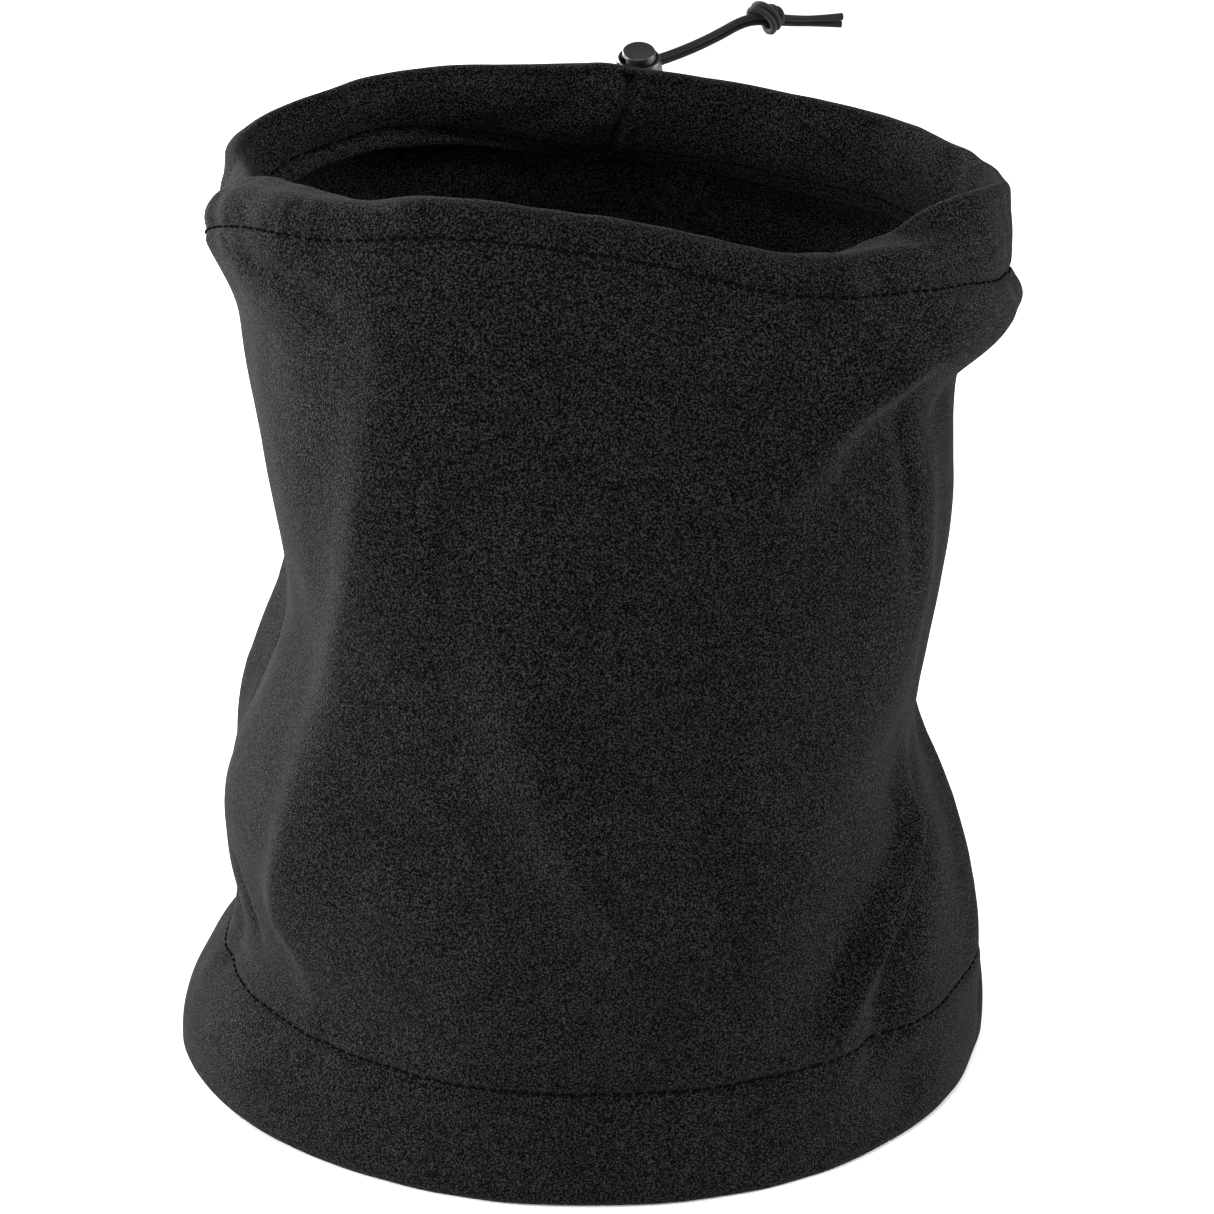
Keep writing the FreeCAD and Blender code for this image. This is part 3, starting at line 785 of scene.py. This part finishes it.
KNOT_CENTRE = Vector((0.0490, 0.1059, 0.2834))
KNOT_ALONG = Vector((0.95, 0.31, -0.04)).normalized()
KNOT_FRONT = Vector((0, -0.96, 0.28))
KNOT_FRONT = (KNOT_FRONT - KNOT_ALONG * KNOT_FRONT.dot(KNOT_ALONG)).normalized()
KNOT_UP = KNOT_FRONT.cross(KNOT_ALONG) * -1
if KNOT_UP.z < 0:
    KNOT_UP = KNOT_UP * -1
KNOT_WRAP = [
    (-2.6, -0.4, -1.8), (-4.3, 1.4, -1.6), (-4.4, 2.9, 0.6), (-2.4, 2.6, 2.9), (0.4, 0.2, 3.7),
    (2.3, -2.6, 2.7), (2.2, -4.2, 0.3), (1.2, -3.0, -2.6), (1.4, 0.6, -3.4), (3.2, 3.0, -1.6),
    (4.5, 2.6, 1.2), (4.9, 0.0, 2.3), (4.4, -1.8, 0.8), (3.2, -1.0, -0.8),
]
KNOT_TWIN = [
    (-1.0, 0.6, -1.6), (-2.6, 3.0, -1.8), (-2.9, 4.3, 0.4), (-1.1, 4.0, 2.8), (1.7, 1.5, 3.7),
    (3.8, -1.4, 2.6), (3.9, -3.0, 0.2), (2.9, -2.2, -2.4), (-0.6, -0.2, -3.4), (1.0, 3.2, -2.4),
    (2.9, 3.6, 0.2), (3.3, 1.6, 2.0), (2.6, 0.2, 1.2), (1.6, 0.4, 0.0),
]


def in_knot(points):
    """Points along, up and towards the front of the knot, in the frame's metres."""
    steps = [KNOT_ALONG * a + KNOT_UP * b + KNOT_FRONT * c for a, b, c in points]
    return [tuple(KNOT_CENTRE + step * MM) for step in steps]


def build_cord():
    knot = curve_object("overhand_knot", [in_knot(KNOT_WRAP), in_knot(KNOT_TWIN)], CORD)
    finish_piece(knot, CORD_BRAID, "gaiter", "cord", "cord_knot")
    strands = [("cord_upper", UPPER, "cord_end_upper"), ("cord_lower", LOWER, "cord_end_lower")]
    for name, points, cad in strands:
        strand = curve_object(name, [points], CORD, 1.12)
        finish_piece(strand, CORD_BRAID, "gaiter", "cord", cad)


def build_held_cord():
    """The cord inside the casing, midway between the band's two layers."""
    row = SEAM_ROW - 1 + 13
    path = OUTSIDE[row] + INWARD[row] * 3.9
    turn = (PHI + 180) % 360
    order = np.argsort(turn)
    keep = order[(turn[order] > 8) & (turn[order] < 353)]
    points, faces = tube_mesh(path[keep], 1.0, 8)
    obj = mesh_object("casing_cord", points * MM, faces)
    finish_piece(obj, CORD_BRAID, "gaiter", "cord", "drawcord")


# --- cord lock -------------------------------------------------------------------------
def lathe(name, profile, sides=72):
    """A closed profile of (radius, height), turned round the lock's axis."""
    points = []
    for r, z in profile:
        for k in range(sides):
            a = 2 * math.pi * k / sides
            points.append(in_lock(r * math.cos(a), r * math.sin(a), z))
    faces = [list(f)[::-1] for f in ring_faces(len(profile), sides, False)]
    faces.append(list(range(sides)))
    faces.append([(len(profile) - 1) * sides + k for k in range(sides)][::-1])
    return mesh_object(name, points, faces)


def carve(obj, cutter):
    change = obj.modifiers.new("carve", "BOOLEAN")
    change.operation = "DIFFERENCE"
    change.solver = "EXACT"
    change.object = cutter
    bpy.context.view_layer.update()
    result = bpy.data.meshes.new_from_object(obj.evaluated_get(bpy.context.evaluated_depsgraph_get()))
    obj.modifiers.clear()
    obj.data = result
    bpy.data.objects.remove(cutter)
    result.shade_smooth()
    return obj


def soften_edges(obj, angle=35):
    obj.data.shade_smooth()
    obj.data.set_sharp_from_angle(angle=math.radians(angle))
    return obj


def bore_tool():
    """The cross hole's shape, bent like the cord: a flat slot with round ends."""
    half_wide, half_turn, steps = 1.45, math.radians(7), 12
    outline = []
    for k in range(steps + 1):
        a = math.pi * k / steps
        outline.append((half_wide * math.cos(a), HALF_STEP + half_wide * math.sin(a)))
    outline += [(-y, -z) for y, z in outline]
    points, count = [], len(outline)
    for k in range(steps + 1):
        turn = -half_turn + 2 * half_turn * k / steps
        points += [on_bend(turn, y, z) for y, z in outline]
    faces = [list(f) for f in ring_faces(steps + 1, count, False)]
    faces += [list(range(count))[::-1], [steps * count + k for k in range(count)]]
    return mesh_object("bore_tool", points, faces)


def slot_tool():
    corners = [in_lock(x, y, z) for z in (-2.55, 4.55) for y in (-1.5, 1.5) for x in (-8, 8)]
    faces = [(0, 2, 3, 1), (4, 5, 7, 6), (0, 1, 5, 4), (2, 6, 7, 3), (0, 4, 6, 2), (1, 3, 7, 5)]
    return mesh_object("slot_tool", corners, faces, False)


# Half sections of the two mouldings, as (radius, height) in the lock.
BARREL = [
    (0.02, -9.3), (5.3, -9.3), (5.5, -9.1), (5.5, 2.85), (5.58, 3.08), (5.75, 3.2), (5.95, 3.2),
    (6.15, 3.1), (6.3, 2.85), (6.55, 1.9), (6.85, 0.5), (7.08, -0.9), (7.18, -1.9), (7.2, -2.8),
    (7.2, -8.3), (7.1, -8.9), (6.85, -9.5), (6.35, -10.15), (5.8, -10.5), (5.2, -10.6),
    (0.02, -10.6),
]
PLUNGER = [
    (0.02, 5.5), (3.6, 5.5), (4.0, 5.58), (4.35, 5.6), (4.62, 5.54), (4.8, 5.36), (4.88, 5.1),
    (5.05, 3.8), (5.2, 2.3), (5.2, -5.05), (5.05, -5.3), (4.0, -5.3), (3.9, -5.2), (3.9, -4.05),
    (0.02, -4.0),
]


def build_spring():
    steps, coil_turns, coil_radius, wire_radius = 160, 3.5, 3.1, 0.3
    low, high = -9.0, -4.35
    turns = np.linspace(0, coil_turns * 2 * math.pi, steps)
    height = low + (high - low) * np.linspace(0, 1, steps)
    path = np.stack([coil_radius * np.cos(turns), coil_radius * np.sin(turns), height], 1)
    points, faces = tube_mesh(path, wire_radius, 10)
    spring = mesh_object("lock_coil", [in_lock(*p) for p in points], faces)
    finish_piece(spring, STEEL, "lock", "spring_steel", "lock_spring")
    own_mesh(spring)


def build_lock():
    barrel = lathe("lock_barrel_shell", BARREL)
    barrel = soften_edges(carve(barrel, bore_tool()))
    finish_piece(barrel, PLASTIC, "lock", "lock_plastic", "lock_barrel")
    button = lathe("lock_plunger", PLUNGER[::-1])
    button = soften_edges(carve(button, slot_tool()))
    finish_piece(button, PLASTIC, "button", "lock_plastic", "lock_button")
    build_spring()


# --- studio ---------------------------------------------------------------------------
def area_light(name, place, aim, size, power, colour=(1, 1, 1)):
    data = bpy.data.lights.new(name, "AREA")
    data.shape = "RECTANGLE"
    data.size, data.size_y = size
    data.energy = power
    data.color = colour
    obj = bpy.data.objects.new(name, data)
    obj.location = place
    obj.rotation_euler = (Vector(aim) - Vector(place)).to_track_quat("-Z", "Y").to_euler()
    bpy.context.scene.collection.objects.link(obj)
    return obj


# name, place, size and power in watts; every lamp looks at the middle of the tube
LAMP_AIM = (0, 0, 0.15)
LAMPS = [
    ("key_left", (-1.6, -0.15, 0.5), (0.6, 0.6), 47),
    ("left_front", (-1.3, -1.0, 0.7), (0.6, 0.6), 9),
    ("rim_left", (-1.1, 1.0, 0.55), (0.5, 0.5), 52),
    ("right_high", (1.1, -0.3, 1.2), (0.6, 0.6), 6),
    ("fill_right", (1.6, 0.15, 0.5), (0.6, 0.6), 30),
    ("top_front", (0, -0.6, 1.5), (0.6, 0.6), 13),
    ("front_low", (-0.2, -1.9, 0.56), (0.5, 0.3), 3),
]
FLOOR_CORNERS = [(-6, -6, 0), (6, -6, 0), (6, 6, 0), (-6, 6, 0)]


def build_studio():
    floor = mesh_object("floor", FLOOR_CORNERS, [(0, 1, 2, 3)], False)
    floor.data.materials.append(floor_material())
    world = bpy.data.worlds.new("studio")
    bpy.context.scene.world = world
    world.use_nodes = True
    background = world.node_tree.nodes["Background"]
    background.inputs["Color"].default_value = (1, 1, 1, 1)
    background.inputs["Strength"].default_value = 0.45
    for name, place, size, power in LAMPS:
        area_light(name, place, LAMP_AIM, size, power)
    bpy.context.scene.view_settings.view_transform = "Standard"


CAMERA_ANGLE = math.radians(24)
CAMERA_TARGET = Vector((0.002, 0, 0.138))
CAMERA_DISTANCE = 0.8194


def build_camera():
    data = bpy.data.cameras.new("camera")
    data.lens = 85
    data.sensor_width = 36
    data.clip_start = 0.01
    obj = bpy.data.objects.new("camera", data)
    away = Vector((0, -math.cos(CAMERA_ANGLE), math.sin(CAMERA_ANGLE)))
    obj.location = CAMERA_TARGET + away * CAMERA_DISTANCE
    obj.rotation_euler = (math.radians(90) - CAMERA_ANGLE, 0, 0)
    bpy.context.scene.collection.objects.link(obj)
    bpy.context.scene.camera = obj


fleece = build_fleece()
build_stitching()
build_seam_thread()
build_bartack()
build_held_cord()
build_cord()
build_lock()
build_studio()
build_camera()
